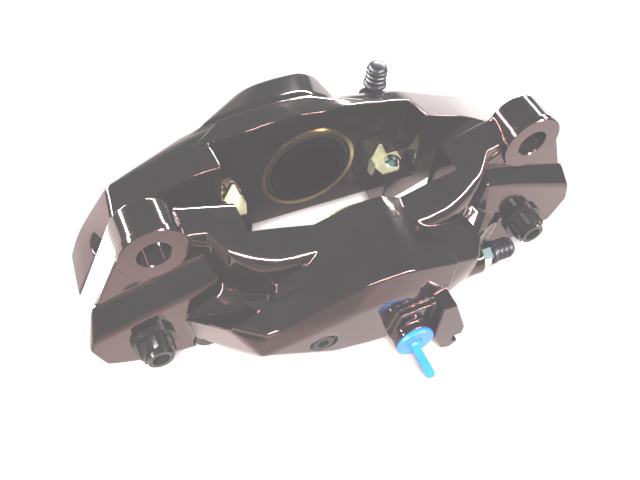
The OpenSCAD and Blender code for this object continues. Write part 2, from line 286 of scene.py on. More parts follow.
def sample(field, low, high, step):
    """The field on a grid, worked out closely only next to the surface."""
    coarse = 4
    count = np.ceil((high - low) / (step * coarse)).astype(int) + 1
    axes = [low[i] + (np.arange(count[i]) + 0.5) * step * coarse - step / 2 for i in range(3)]
    grid = np.stack(np.meshgrid(*axes, indexing="ij"), -1).reshape(-1, 3).astype(np.float32)
    rough = field(grid).reshape(count).astype(np.float32)
    fine = rough.repeat(coarse, 0).repeat(coarse, 1).repeat(coarse, 2)
    near = np.argwhere(np.abs(fine) < step * coarse * 1.1)
    fine[tuple(near.T)] = field((low + near * step).astype(np.float32))
    return fine


def net(grid, low, step):
    """Surface nets: one point per crossed cell, one quad per crossed edge."""
    inside = grid < 0
    cells = np.array(grid.shape) - 1
    corners = sum(
        inside[i : i + cells[0], j : j + cells[1], k : k + cells[2]].astype(np.int8)
        for i in (0, 1)
        for j in (0, 1)
        for k in (0, 1)
    )
    active = np.argwhere((corners > 0) & (corners < 8))
    index = np.full(tuple(cells), -1, np.int64)
    index[tuple(active.T)] = np.arange(len(active))
    total = np.zeros((len(active), 3))
    hits = np.zeros(len(active))
    for axis in range(3):
        b, c = [i for i in range(3) if i != axis]
        for ob in (0, 1):
            for oc in (0, 1):
                start = active.copy()
                start[:, b] += ob
                start[:, c] += oc
                end = start.copy()
                end[:, axis] += 1
                v0, v1 = grid[tuple(start.T)], grid[tuple(end.T)]
                cut = (v0 < 0) != (v1 < 0)
                t = np.where(cut, v0 / np.where(cut, v0 - v1, 1), 0)
                point = start.astype(float)
                point[:, axis] += t
                total[cut] += point[cut]
                hits += cut
    points = low + total / hits[:, None] * step
    quads = []
    for axis in range(3):
        b, c = [(axis + 1) % 3, (axis + 2) % 3]
        first = [slice(1, -1)] * 3
        first[axis] = slice(0, -1)
        second = list(first)
        second[axis] = slice(1, None)
        a0, a1 = inside[tuple(first)], inside[tuple(second)]
        where = np.argwhere(a0 != a1) + np.array([0 if i == axis else 1 for i in range(3)])
        turn = inside[tuple(where.T)]
        ring = []
        for ob, oc in ((0, 0), (1, 0), (1, 1), (0, 1)):
            cell = where.copy()
            cell[:, b] -= ob
            cell[:, c] -= oc
            ring.append(index[tuple(cell.T)])
        ring = np.stack(ring, 1)
        ring[~turn] = ring[~turn][:, ::-1]
        quads.append(ring)
    return points, np.concatenate(quads)


def settle(field, points, step, rounds):
    """Moves the points onto the surface along the field's own slope."""
    reach = 0.15 * step
    for _ in range(rounds):
        p = points.astype(np.float32)
        value = field(p)
        slope = np.zeros_like(points)
        for i in range(3):
            shift = np.zeros(3, np.float32)
            shift[i] = reach
            slope[:, i] = (field(p + shift) - field(p - shift)) / (2 * reach)
        square = np.maximum((slope**2).sum(1), 0.25)
        move = -value[:, None] * slope / square[:, None]
        size = np.linalg.norm(move, axis=1)
        limit = 0.6 * step
        move *= np.minimum(1, limit / np.maximum(size, 1e-9))[:, None]
        points = points + move
    return points


def relax(points, quads, amount):
    """Moves each point part of the way to the middle of its neighbours."""
    size = len(points)
    total = np.zeros_like(points)
    count = np.zeros(size)
    for i in range(4):
        a, b = quads[:, i], quads[:, (i + 1) % 4]
        for j in range(3):
            total[:, j] += np.bincount(a, points[b, j], size) + np.bincount(b, points[a, j], size)
        count += np.bincount(a, minlength=size) + np.bincount(b, minlength=size)
    return points + amount * (total / count[:, None] - points)


def mesh_object(name, points, faces):
    """Object from points in millimetres."""
    mesh = bpy.data.meshes.new(name)
    mesh.from_pydata((points * MM).tolist(), [], faces.tolist())
    mesh.update()
    return link_object(name, mesh)


def bmesh_object(name, bm):
    """Object from a bmesh, which is freed."""
    mesh = bpy.data.meshes.new(name)
    bm.to_mesh(mesh)
    bm.free()
    return link_object(name, mesh)


def link_object(name, data):
    piece = bpy.data.objects.new(name, data)
    bpy.context.scene.collection.objects.link(piece)
    return piece


def apply_modifier(piece, modifier):
    bpy.context.view_layer.update()
    shown = piece.evaluated_get(bpy.context.evaluated_depsgraph_get())
    mesh = bpy.data.meshes.new_from_object(shown)
    piece.modifiers.remove(modifier)
    old = piece.data
    piece.data = mesh
    bpy.data.meshes.remove(old)


def decimate(piece, triangles):
    faces = len(piece.data.polygons) * 2
    if faces <= triangles:
        return
    modifier = piece.modifiers.new("decimate", "DECIMATE")
    modifier.ratio = triangles / faces
    modifier.use_collapse_triangulate = True
    apply_modifier(piece, modifier)


def combine(piece, tools, operation):
    """Exact boolean of the piece with each tool in turn. The tools go."""
    for tool in tools:
        modifier = piece.modifiers.new("combine", "BOOLEAN")
        modifier.operation = operation
        modifier.solver = "MANIFOLD"
        modifier.object = tool
        apply_modifier(piece, modifier)
        mesh = tool.data
        bpy.data.objects.remove(tool)
        bpy.data.meshes.remove(mesh)


def shade(piece, sharp_angle=40.0):
    """Smooth shading, with hard edges above the angle and flats kept flat."""
    mesh = piece.data
    mesh.shade_smooth()
    mesh.set_sharp_from_angle(angle=math.radians(sharp_angle))
    weighted = piece.modifiers.new("flats", "WEIGHTED_NORMAL")
    weighted.keep_sharp = True
    weighted.weight = 80
    return piece


# ---- turned tools and pieces -----------------------------------------------------


def lathe(name, profile, origin, direction, segments=72):
    """Solid of revolution. profile is (along, radius) points from one end of the axis to the other."""
    axis = Vector(direction).normalized()
    side = axis.orthogonal().normalized()
    up = axis.cross(side)
    bm = bmesh.new()
    rings = []
    for along, radius in profile:
        centre = Vector(origin) + axis * along
        if radius < 1e-6:
            rings.append([bm.verts.new(centre * MM)])
            continue
        ring = []
        for i in range(segments):
            t = 2 * math.pi * i / segments
            ring.append(bm.verts.new((centre + (side * math.cos(t) + up * math.sin(t)) * radius) * MM))
        rings.append(ring)
    for a, b in zip(rings, rings[1:]):
        if len(a) == 1 and len(b) == 1:
            continue
        for i in range(segments):
            j = (i + 1) % segments
            if len(a) == 1:
                bm.faces.new((a[0], b[j], b[i]))
            elif len(b) == 1:
                bm.faces.new((a[i], a[j], b[0]))
            else:
                bm.faces.new((a[i], a[j], b[j], b[i]))
    bmesh.ops.recalc_face_normals(bm, faces=bm.faces)
    return bmesh_object(name, bm)


def bore(x, z, radius, y_low, y_high, chamfer=0.4):
    """Cutter for a hole along Y that opens at y_low and y_high, with a small chamfer at each mouth."""
    over = 2.0
    profile = [
        (-over, 0),
        (-over, radius + chamfer + over),
        (0, radius + chamfer),
        (chamfer, radius),
        (y_high - y_low - chamfer, radius),
        (y_high - y_low, radius + chamfer),
        (y_high - y_low + over, radius + chamfer + over),
        (y_high - y_low + over, 0),
    ]
    return lathe("bore", profile, (x, y_low, z), (0, 1, 0))


def blind_bore(x, z, radius, y_mouth, depth, chamfer=0.4, into=1):
    """Cutter for a hole along Y that opens at y_mouth and runs depth into the body."""
    over = 2.0
    profile = [
        (-over, 0),
        (-over, radius + chamfer + over),
        (0, radius + chamfer),
        (chamfer, radius),
        (depth, radius),
        (depth, 0),
    ]
    return lathe("blind_bore", profile, (x, y_mouth, z), (0, into, 0))


# ---- castings ---------------------------------------------------------------------

BODY_EDGE = 1.3                             # usual round on a cast corner


def pocket_outline():
    """Outline in X and Z of the pad pocket, with the crown window below it."""
    right = [(WINDOW_HALF, -100), (WINDOW_HALF, LEDGE_Z), (POCKET_HALF, LEDGE_Z), (POCKET_HALF, 40)]
    return right + [(-x, z) for x, z in reversed(right)]


def far_pocket():
    """Space for the outboard pad."""
    return prism(pocket_outline(), 1, MID_Y, 2 * MID_Y - POCKET_FLOOR_Y, 0.3)


def end_wall():
    """Wall under the ear, flaring towards the inboard side."""
    return convex(
        sections(
            (SLOT_Y, [(60, -9), (86, 8), (101, -8), (118, -50), (121, -58), (60, -70)]),
            (2, [(60, -12), (84, 4), (106, 2), (118.5, -26), (121, -58), (60, -66)]),
        ),
        BODY_EDGE,
    )


def end_band(side, ledge, rise):
    """Thick lower band that carries the outer bolt seat. Its ledge slopes down from Z -25 to the seat."""
    return convex(
        [
            (side * x, y, z)
            for x, y, z in sections(
                (SLOT_Y, [(60, -30), (108, -28), (118, -50), (121, -58), (101, -69), (60, -76)]),
                (2, [(71, -11), (90, -26), (119.5, -25.5), (121, -58), (60, -70)]),
                (-6, [(66, ledge + 20), (88, ledge), (122, ledge + rise), (125, -46), (119, -61),
                      (101, -68), (72, -71)]),
            )
        ],
        BODY_EDGE,
    )


def arm(side):
    """Arm from the ear to the housing: a softly twisted top over an upright front edge."""
    brow = [
        (12, -13, -15), (24, -14, -13.8), (38, -16, -13.5), (51, -13.5, -12), (61, -6, -10), (68, 3, -7),
        (88, 4, 0),
    ]
    back = [
        (12, SLOT_Y, -16), (28, SLOT_Y, -17), (46, SLOT_Y, -14.5), (80, SLOT_Y, 8), (80, 4, 5),
        (88, SLOT_Y, 2),
    ]
    top = convex([(side * x, y, z - sink) for x, y, z in brow + back for sink in (0, 30)], 4.5)
    outline = [(12, SLOT_Y), (88, SLOT_Y), (88, 4)] + [(x, y) for x, y, z in reversed(brow[:-1])]
    column = prism([(side * x, y) for x, y in outline], 2, -32, 12, 1.0)
    return lambda p: smooth_max(column(p), top(p), 1.0)


def dish():
    """Low ground between the arm, the end band and the housing."""
    return convex(
        [
            (20, 0, -31), (60, 0, -30), (80, 4, -25), (20, -20, -42), (60, -17, -42), (82, -6, -42),
            (84, 2, -30), (84, -4, -64), (60, -12, -68), (20, -22, -60), (20, SLOT_Y, -28),
            (84, SLOT_Y, -24), (84, SLOT_Y, -66), (20, SLOT_Y, -60),
        ],
        BODY_EDGE,
    )


TOP_POINT = np.array([-22.5, -12.0, -14.0])
TOP_NORMAL = np.array([-43.0, -320.0, 459.5])
TOP_NORMAL /= np.linalg.norm(TOP_NORMAL)


def top_z(x, y):
    """Height of the sloping top of the housing wing."""
    run = TOP_NORMAL[0] * (x - TOP_POINT[0]) + TOP_NORMAL[1] * (y - TOP_POINT[1])
    return TOP_POINT[2] - run / TOP_NORMAL[2]


def wing():
    """Left end of the housing: a plan outline with a bite in it, under the sloping top."""
    plan = [
        (-22.3, -11), (-22.6, -14), (-27.3, -18), (-35.8, -21.6), (-47.7, -22.7), (-53, -19.8),
        (-61, -18.6), (-56.3, -24), (-69.5, -25.6), (-55, -34.5), (-39, -35), (10, -35), (10, -11),
    ]
    column = prism(plan, 2, -75, 10, 0.3)
    rim = [(-20, -8), (-72, -25.3), (-55, -33.8), (10, -33), (10, -8), (-72, -8)]
    slope = convex([(x, y, top_z(x, y) - sink) for x, y in rim for sink in (0, 4)], 0.6)
    return lambda p: smooth_max(column(p), slope(p), 2.0)


def wing_root():
    """Ground under the wing, from its front edge back down to the dish and out to the end band."""
    return convex(
        [
            (-70, -25.8, -30.5), (-56, -34, -34.5), (-30, -34.5, -31), (-83, -6, -43), (-58, -36, -45),
            (-30, -36, -46), (-40, -10, -42), (-30, -10, -42), (-83, -6, -47), (-60, -22, -64),
            (-84, 0, -66), (-30, -28, -66), (-30, 0, -66),
        ],
        BODY_EDGE,
    )


def housing():
    """Block over the piston: a sloping top, a steep front facet and an upright front face."""
    return convex(
        [
            (-28, 1, -15.5), (-13, 1, -10), (-2, 1, -6.4), (12, 1, -6.2), (22, 1, -12), (34, 1, -16.5),
            (-28, SLOT_Y, -15.5), (-13, SLOT_Y, -10), (-2, SLOT_Y, -6.4), (12, SLOT_Y, -6.2),
            (22, SLOT_Y, -12), (34, SLOT_Y, -16.5),
            (-54, -33, -33), (-26, -32, -27.8), (-19.5, -34.5, -19.5), (-11.5, -37, -12.6),
            (3, -37.4, -11.6), (17, -37, -15.5), (38, -34, -25),
            (-58, -36, -44), (-35, -36.5, -45), (-12, -41, -26.5), (3, -41, -25.5), (17, -40, -31),
            (33, -38, -40), (30, -37, -62), (4, -37, -66), (-22, -36, -63), (-40, -20, -66),
            (40, -20, -66), (-40, SLOT_Y, -64), (44, SLOT_Y, -66),
        ],
        BODY_EDGE,
    )


def right_block():
    """Right end of the housing, which carries the bleed port."""
    return convex(
        [
            (22, -33, -22.6), (38.5, -33, -26), (51, -32, -30.5), (57, -22, -27), (55, -14, -25),
            (24, -13, -15), (24, -33, -46), (36, -33, -48), (52, -30, -44), (58, -24, -44),
            (58, -14, -40), (58, -20, -60),
            (40, -30, -60), (20, -33, -62), (20, 0, -62), (58, 0, -60), (56, 0, -30), (24, 0, -18),
        ],
        BODY_EDGE,
    )


def inlet_boss():
    """Barrel of the inlet port, the block behind it and the notched hose lug beside it."""
    x, y, z = INLET
    barrel = rod((x, y, z), (x, -20, z), 9.4, 0.8)
    block = prism([(4, -58), (6, -40), (30, -38), (34, -60), (22, -66)], 1, -42, -20, 0.8)
    lug = prism(
        [(24, -36), (31, -36), (41, -60), (41, -66), (36, -66), (36, -70), (40, -72), (36, -76), (31, -74),
         (24, -60)],
        1, -48, -30, 0.7,
    )
    return merged((barrel, 0), (block, 1.5), (lug, 1.0))


def inboard_field():
    ends = merged((mirrored(end_wall()), 0), (end_band(-1, -43, 3.5), 1.0), (end_band(1, -33.5, -2), 1.0))
    ear = mirrored(rod((EAR_X, 2, 0), (EAR_X, SLOT_Y, 0), EAR_R - 1, 0.6))
    x, y, z = near_bleed_mouth()
    bleed_boss = rod((30, y, z), (x, y, z), BOSS_R, 0.8)
    body = merged(
        (ends, 0), (ear, 1.5), (mirrored(dish()), 1.0), (arm(-1), 0.8), (arm(1), 0.8), (wing_root(), 0.6),
        (wing(), 0.6), (housing(), 0.6), (right_block(), 0.6), (bleed_boss, 2.0), (inlet_boss(), 1.5),
    )
    bolt_bay = mirrored(rod((INNER_BOLT_X, -60, INNER_BOLT_Z), (INNER_BOLT_X, 4, INNER_BOLT_Z), 8.6, 1.0))
    return carved(body, (bolt_bay, 0.8))


def near_bleed_mouth():
    """Mouth of the inboard bleed port, which faces +X."""
    low, high = cad_box_mm("inboard_bleed_screw")
    return np.array([low[0] + SCREW_TIP, (low[1] + high[1]) / 2, (low[2] + high[2]) / 2])


def far_bleed_mouth():
    """Mouth of the outboard bleed port, which faces +Z."""
    low, high = cad_box_mm("outboard_bleed_screw")
    return np.array([(low[0] + high[0]) / 2, (low[1] + high[1]) / 2, low[2] + SCREW_TIP])


def outboard_plate():
    """Bridge-shaped body of the outboard half, narrowing away from the disc."""
    return convex(
        sections(
            (FAR_Y, [(-101, -11), (-78, -1), (-61, 4.6), (-49, 3.3), (47, 4), (73, -5), (86, -12),
                     (101, -21), (122, -57), (118, -63), (101, -69), (46, -77), (-46, -77), (-101, -69),
                     (-118, -63), (-122, -57)]),
            (46, [(-98, -4), (-109, -20), (-116, -32), (-120, -44)]),
            (60, [(-96, -20), (-57, -2), (-30, 3), (0, 3), (52, -6), (90, -21), (101, -28), (114, -46),
                  (118, -60), (46, -75), (-46, -75), (-112, -62), (-104, -46)]),
            (66, [(-92, -25), (-56, -6), (56, -12), (90, -25), (108, -46), (114, -60), (101, -65),
                  (46, -72), (-46, -72), (-98, -66), (-100, -46)]),
        ),
        1.1,
    )


def outboard_rim():
    """Raised lip above the outboard bore."""
    return convex(
        sections(
            (49, [(-58, 1.5), (-44, 2.7), (-26, 4), (-12, 5.6), (-3.5, 3.5), (16, 0), (36, 0.5), (36, -20),
                  (-58, -20)]),
            (62, [(-42, 1.5), (-24, 3.5), (2, 3.5), (14, -2), (14, -30), (-42, -30)]),
        ),
        0.8,
    )


def outboard_bulge():
    """Swelling round the outboard bore, with a round barrel inside it."""
    bulge = convex(
        sections(
            (64, [(-55, -3), (-24, 4), (2, 4), (14, -2), (24, -10), (32, -58), (-55, -58)]),
            (85.5, [(-25, -8), (-19, -3), (-3, -0.8), (11, -1.8), (19, -7), (24, -40), (12, -58),
                    (-16, -58), (-30, -42)]),
        ),
        3.5,
    )
    barrel = rod((0, 50, PISTON_Z), (0, 80, PISTON_Z), 25.5, 6)
    return merged((bulge, 0), (barrel, 5))


def outboard_post():
    """Post of the outboard bleed port, its foot, and the web that carries its passage."""
    x, y, z = far_bleed_mouth()
    foot = [(x - POST_R, 60), (x + POST_R, 60), (x + POST_R, y), (x - POST_R, y)]
    web = [(20, 60), (x, 60), (x, 79), (20, 79)]
    return merged(
        (rod((x, y, -62), (x, y, z), POST_R, 0.8), 0),
        (prism(foot, 2, -62, z, 0.8), 0.5),
        (prism(web, 2, -48, -26, 0.8), 0.5),
    )


def outboard_field():
    whole = merged(
        (outboard_plate(), 0), (outboard_rim(), 1.0), (outboard_bulge(), 4.0), (outboard_post(), 3.0)
    )
    square = [(-200, -200), (200, -200), (200, 200), (-200, 200)]
    before = prism(square, 1, FAR_Y - 60, FAR_Y, 0)
    relief = prism([(-44, -66), (-44, -120), (44, -120), (44, -66)], 1, FAR_Y - 2, 100, 0.5)
    dent = mirrored(rod((118, FAR_Y - 2, -30), (106, FAR_Y + 3, -24), 4.5, 1.0))
    return carved(whole, (before, 0.7), (far_pocket(), 0.7), (relief, 2.0), (dent, 0.6))


def casting(name, field, low, high, triangles):
    """Mesh of a field between two corners, thinned to a number of triangles."""
    low, high = np.array(low, float), np.array(high, float)
    grid = sample(field, low, high, STEP)
    points, quads = net(grid, low, STEP)
    points = settle(field, points, STEP, 2)
    points = relax(points, quads, 0.5)
    points = settle(field, points, STEP, 2)
    piece = mesh_object(name, points, quads)
    decimate(piece, triangles)
    return piece


def seat(x, z, radius, y, out):
    """Cutter for a flat machined seat that faces out (-1 or 1 along Y)."""
    return lathe("seat", [(0, 0), (0, radius), (12, radius + 0.4), (12, 0)], (x, y, z), (0, out, 0))


def piston_bore(sign):
    """Cutters for the bore and its wider mouth. sign is 1 inboard and -1 outboard."""
    floor = MID_Y - sign * (MID_Y - POCKET_FLOOR_Y)
    main = blind_bore(0, PISTON_Z, PISTON_R + 0.1, floor, BORE_DEPTH, 0.2, -sign)
    wide = blind_bore(0, PISTON_Z, BOOT_R + 0.05, floor, BOOT_DEPTH, 0.5, -sign)
    return [wide, main]


def slot_cutter():
    """Everything past the inboard wall of the disc slot."""
    square = [(-150, -120), (150, -120), (150, 60), (-150, 60)]
    return block_mesh("slot_cutter", square, 40, lambda u, v, w: (u, SLOT_Y + w, v), 0)


def pocket_cutter():
    """Pad pocket and crown window of the inboard half."""
    return block_mesh(
        "pocket_cutter", pocket_outline(), SLOT_Y + 10, lambda u, v, w: (u, POCKET_FLOOR_Y + w, v), 0
    )


def inboard_casting():
    low, high = (-128, -60, -80), (128, SLOT_Y + 3, 18)
    piece = casting("inboard_casting", inboard_field(), low, high, INBOARD_TRIANGLES)
    collar = [(0, 0), (0, EAR_R - 0.4), (0.4, EAR_R), (3.2, EAR_R), (3.5, EAR_R - 0.3), (3.5, 0)]
    collars = [lathe("collar", collar, (x, 0, 0), (0, 1, 0), 96) for x in (-EAR_X, EAR_X)]
    combine(piece, collars, "UNION")
    cuts = [slot_cutter(), pocket_cutter()] + piston_bore(1)
    for s in (-1, 1):
        cuts.append(bore(s * EAR_X, 0, EAR_HOLE_R, 0, SLOT_Y))
        cuts.append(seat(s * OUTER_BOLT_X, OUTER_BOLT_Z, 10.6, -6.02, -1))
        cuts.append(bore(s * OUTER_BOLT_X, OUTER_BOLT_Z, BOLT_CLEARANCE_R, -6, SLOT_Y))
        cuts.append(bore(s * INNER_BOLT_X, INNER_BOLT_Z, BOLT_CLEARANCE_R, 4, SLOT_Y))
    x, y, z = INLET
    cuts.append(blind_bore(x, z, PORT_R, y, 13))
    plug_low, plug_high = cad_box_mm("passage_plug")
    x, z = (plug_low[0] + plug_high[0]) / 2, (plug_low[2] + plug_high[2]) / 2
    y = plug_low[1] + 0.8
    cuts.append(blind_bore(x, z, SEALING_SCREW_R, y, 9, 0.5))
    cuts.append(seat(x, z, 7, y, -1))
    combine(piece, cuts, "DIFFERENCE")
    return piece


def outboard_casting():
    low, high = (-126, FAR_Y - 3, -80), (126, 92, 12)
    piece = casting("outboard_casting", outboard_field(), low, high, OUTBOARD_TRIANGLES)
    cuts = piston_bore(-1)
    for s in (-1, 1):
        for x, z in ((OUTER_BOLT_X, OUTER_BOLT_Z), (INNER_BOLT_X, INNER_BOLT_Z)):
            cuts.append(blind_bore(s * x, z, THREAD_R, FAR_Y, 26))
    combine(piece, cuts, "DIFFERENCE")
    return piece


# ---- small pieces -------------------------------------------------------------------


def ribbed_cap(name, mouth, axis):
    """Rubber bleed cap: rolled lip, three ribs, a soft dome, and the socket that grips the screw."""
    profile = [
        (9.0, 0), (9.0, 3.75), (7.2, 3.85), (7.0, 4.4), (7.0, 5.6), (7.5, 6.0), (8.7, 6.0), (9.2, 5.6),
    ]
    for rib in range(3):
        start = 9.8 + 2.7 * rib
        steps = ((0, 4.75), (0.7, 4.7), (1.2, 5.3), (2.0, 5.35), (2.4, 4.95))
        profile += [(start + along, radius) for along, radius in steps]
    profile += [(18.3, 4.9), (19.4, 4.3), (20.1, 3.2), (20.45, 1.6), (20.5, 0)]
    return lathe(name, profile, tuple(mouth), axis)


def block_mesh(name, outline, thickness, place, edge=0.3):
    """Outline in a plane, thickened, with bevelled edges. place turns (u, v, w) into millimetres."""
    bm = bmesh.new()
    rings = [[bm.verts.new(Vector(place(u, v, w)) * MM) for u, v in outline] for w in (0, thickness)]
    bm.faces.new(rings[0])
    bm.faces.new(rings[1])
    count = len(outline)
    for i in range(count):
        j = (i + 1) % count
        bm.faces.new((rings[0][i], rings[0][j], rings[1][j], rings[1][i]))
    bmesh.ops.recalc_face_normals(bm, faces=bm.faces)
    if edge:
        bmesh.ops.bevel(
            bm, geom=list(bm.edges), offset=min(edge, thickness / 4) * MM, segments=2, profile=0.6,
            affect="EDGES", clamp_overlap=True,
        )
    return bmesh_object(name, bm)


def join(name, pieces):
    """One mesh from several."""
    bm = bmesh.new()
    for piece in pieces:
        bm.from_mesh(piece.data)
        mesh = piece.data
        bpy.data.objects.remove(piece)
        bpy.data.meshes.remove(mesh)
    return bmesh_object(name, bm)


def transit_plug():
    """Blue plug: a stub in the port, a dished flange with a dimple, and a flat pull tab."""
    x, y, z = INLET
    body = lathe(
        "plug_body",
        [(-9, 0), (-9, 3.6), (-8.4, 4.0), (-0.1, 4.8), (0, 9.0), (0.4, 9.3), (1.8, 9.3), (2.2, 9.0),
         (2.0, 3.4), (1.5, 2.9), (0.9, 2.3), (0.9, 0)],
        (x, y, z), (0, -1, 0),
    )
    tab = block_mesh(
        "plug_tab",
        [(1.2, -1.9), (17.2, -2.3), (18.4, -1.2), (18.4, 1.2), (17.2, 2.3), (1.2, 1.9)],
        2.2,
        lambda u, v, w: (x + v + 0.3, y - u, z - 5 - 0.06 * u + w),
    )
    return join("transit_plug", [body, tab])


def abutment_plate(name, node, side, sign):
    """Bent spring-steel strip on a pad ledge: a seat round the screw, a lip below and a turned-up ear."""
    low, high = cad_box_mm(node)
    inner, outer = WINDOW_HALF - 1, POCKET_HALF - 0.1
    y0, y1 = (low[1], high[1]) if sign > 0 else (high[1], low[1])
    deep = y1 - y0
    flat = block_mesh(
        "strip_flat",
        [(inner, y0), (outer, y0), (outer, y0 + deep * 0.45), (outer - 5, y1), (inner + 2, y1),
         (inner, y0 + deep * 0.5)],
        1.0,
        lambda u, v, w: (side * u, v, LEDGE_Z + w),
    )
    lip = block_mesh(
        "strip_lip",
        [(y0, LEDGE_Z + 1), (y0 + deep * 0.5, LEDGE_Z + 1), (y0 + deep * 0.35, low[2] + 1),
         (y0, low[2] + 0.5)],
        1.0,
        lambda u, v, w: (side * (inner + w), u, v),
    )
    turn = 1 if y1 > y0 else -1
    ear = block_mesh(
        "strip_ear",
        [(inner + 1, LEDGE_Z + 0.5), (inner + 10, LEDGE_Z + 0.5), (inner + 5.5, LEDGE_Z + 10),
         (inner + 4, LEDGE_Z + 10)],
        0.8,
        lambda u, v, w: (side * u, y0 + turn * (w + 0.1), v),
    )
    return join(name, [flat, lip, ear])


# ---- materials ---------------------------------------------------------------------


def new_material(name):
    material = bpy.data.materials.new(name)
    material.use_nodes = True
    tree = material.node_tree
    shader = tree.nodes["Principled BSDF"]
    return material, tree, shader


def object_noise(tree, scale, detail=3.0, roughness=0.5, stretch=(1, 1, 1)):
    """Noise in the piece's own space, in cells per metre."""
    where = tree.nodes.new("ShaderNodeTexCoord")
    mapping = tree.nodes.new("ShaderNodeMapping")
    mapping.inputs["Scale"].default_value = stretch
    tree.links.new(where.outputs["Object"], mapping.inputs["Vector"])
    noise = tree.nodes.new("ShaderNodeTexNoise")
    noise.inputs["Scale"].default_value = scale
    noise.inputs["Detail"].default_value = detail
    noise.inputs["Roughness"].default_value = roughness
    tree.links.new(mapping.outputs["Vector"], noise.inputs["Vector"])
    return noise.outputs["Fac"]


def ramp(tree, value, stops):
    """Colour ramp over a value. stops is (position, (r, g, b))."""
    node = tree.nodes.new("ShaderNodeValToRGB")
    band = node.color_ramp
    while len(band.elements) < len(stops):
        band.elements.new(0.5)
    for element, (position, colour) in zip(band.elements, stops):
        element.position = position
        element.color = (*colour, 1)
    tree.links.new(value, node.inputs["Fac"])
    return node.outputs["Color"]


def span(tree, value, low, high):
    """Value from 0..1 spread between two numbers."""
    node = tree.nodes.new("ShaderNodeMapRange")
    node.inputs["To Min"].default_value = low
    node.inputs["To Max"].default_value = high
    tree.links.new(value, node.inputs["Value"])
    return node.outputs["Result"]


def bump(tree, shader, value, strength, distance, under=None):
    """Bump from a value, over an earlier bump if one is given. distance is in metres."""
    node = tree.nodes.new("ShaderNodeBump")
    node.inputs["Strength"].default_value = strength
    node.inputs["Distance"].default_value = distance
    tree.links.new(value, node.inputs["Height"])
    if under is not None:
        tree.links.new(under, node.inputs["Normal"])
    tree.links.new(node.outputs["Normal"], shader.inputs["Normal"])
    return node.outputs["Normal"]


def black_paint():
    """Gloss black paint with a warm sheen: orange peel over slow waviness, a little dull in patches."""
    material, tree, shader = new_material("black_paint")
    tone = object_noise(tree, 60, 4)
    colour = ramp(tree, tone, [(0.3, (0.0036, 0.0034, 0.0034)), (0.7, (0.0054, 0.005, 0.005))])
    tree.links.new(colour, shader.inputs["Base Color"])
    tree.links.new(span(tree, object_noise(tree, 140, 5), 0.05, 0.12), shader.inputs["Roughness"])
    shader.inputs["IOR"].default_value = 1.5
    shader.inputs["Specular Tint"].default_value = (1.0, 0.5, 0.45, 1)
    wave = bump(tree, shader, object_noise(tree, 45, 2), 0.3, 0.0005)
    bump(tree, shader, object_noise(tree, 650, 2), 0.2, 0.00005, wave)
    return material


def metal(name, low, high, roughness, grain, stretch=(1, 1, 1), metallic=1.0):
    """Bare or plated metal between two tints, with a fine grain. A dull skin is less metallic."""
    material, tree, shader = new_material(name)
    shader.inputs["Metallic"].default_value = metallic
    tone = object_noise(tree, grain / 6, 4)
    tree.links.new(ramp(tree, tone, [(0.35, low), (0.65, high)]), shader.inputs["Base Color"])
    fine = object_noise(tree, grain, 3, 0.6, stretch)
    tree.links.new(span(tree, fine, roughness * 0.75, roughness * 1.3), shader.inputs["Roughness"])
    bump(tree, shader, fine, 0.3, 0.00002)
    return material


def rubber(name, low, high, roughness):
    """Dark dull skin between two tints, finely pitted: rubber, and the zinc on the black bolts."""
    material, tree, shader = new_material(name)
    colour = ramp(tree, object_noise(tree, 220, 5), [(0.3, low), (0.7, high)])
    tree.links.new(colour, shader.inputs["Base Color"])
    dull = span(tree, object_noise(tree, 500, 3), roughness * 0.85, roughness * 1.15)
    tree.links.new(dull, shader.inputs["Roughness"])
    bump(tree, shader, object_noise(tree, 2200, 2), 0.2, 0.00003)
    shader.inputs["Specular IOR Level"].default_value = 0.2
    return material


def blue_plastic():
    """Moulded polyethylene, waxy and a little see-through."""
    material, tree, shader = new_material("blue_plastic")
    tone = object_noise(tree, 90, 3)
    colour = ramp(tree, tone, [(0.3, (0.005, 0.11, 0.42)), (0.7, (0.008, 0.13, 0.5))])
    tree.links.new(colour, shader.inputs["Base Color"])
    tree.links.new(span(tree, object_noise(tree, 300, 3), 0.32, 0.42), shader.inputs["Roughness"])
    shader.inputs["Subsurface Weight"].default_value = 0.15
    shader.inputs["Subsurface Radius"].default_value = (0.001, 0.002, 0.003)
    bump(tree, shader, object_noise(tree, 900, 2), 0.15, 0.00004)
    return material


def dress(piece, material):
    """One material for the whole piece."""
    piece.data.materials.clear()
    piece.data.materials.append(material)


# ---- putting the object together ------------------------------------------------------

PAINT = black_paint()
FINISH = {
    "black_casting": PAINT,
    "bare_spacer": metal(
        "milled_aluminium", (0.86, 0.86, 0.84), (0.95, 0.95, 0.93), 0.38, 900, (1, 0.15, 1), metallic=0.3
    ),
    "piston_steel": metal("coated_piston", (0.014, 0.013, 0.012), (0.02, 0.019, 0.017), 0.32, 700),
    "seal_rubber": rubber("seal_rubber", (0.005, 0.005, 0.005), (0.008, 0.008, 0.008), 0.5),
    "boot_rubber": rubber("boot_rubber", (0.004, 0.004, 0.004), (0.007, 0.007, 0.0065), 0.45),
    "yellow_zinc": metal("yellow_zinc", (0.72, 0.52, 0.2), (0.85, 0.66, 0.32), 0.22, 500),
    "black_bolt": rubber("black_zinc", (0.005, 0.005, 0.0048), (0.009, 0.0085, 0.008), 0.25),
    "abutment_plate": metal(
        "pale_gold_strip", (0.62, 0.58, 0.38), (0.78, 0.74, 0.52), 0.3, 700, (0.2, 1, 1), metallic=0.85
    ),
    "bright_screw": metal("bright_zinc", (0.6, 0.74, 0.74), (0.85, 0.9, 0.92), 0.12, 400),
    "cap_rubber": rubber("cap_rubber", (0.004, 0.004, 0.006), (0.007, 0.007, 0.0095), 0.36),
    "blue_plastic": blue_plastic(),
}
SLOTS = {part["node"]: part["material_slot"] for part in frame["record"]["subparts"]}

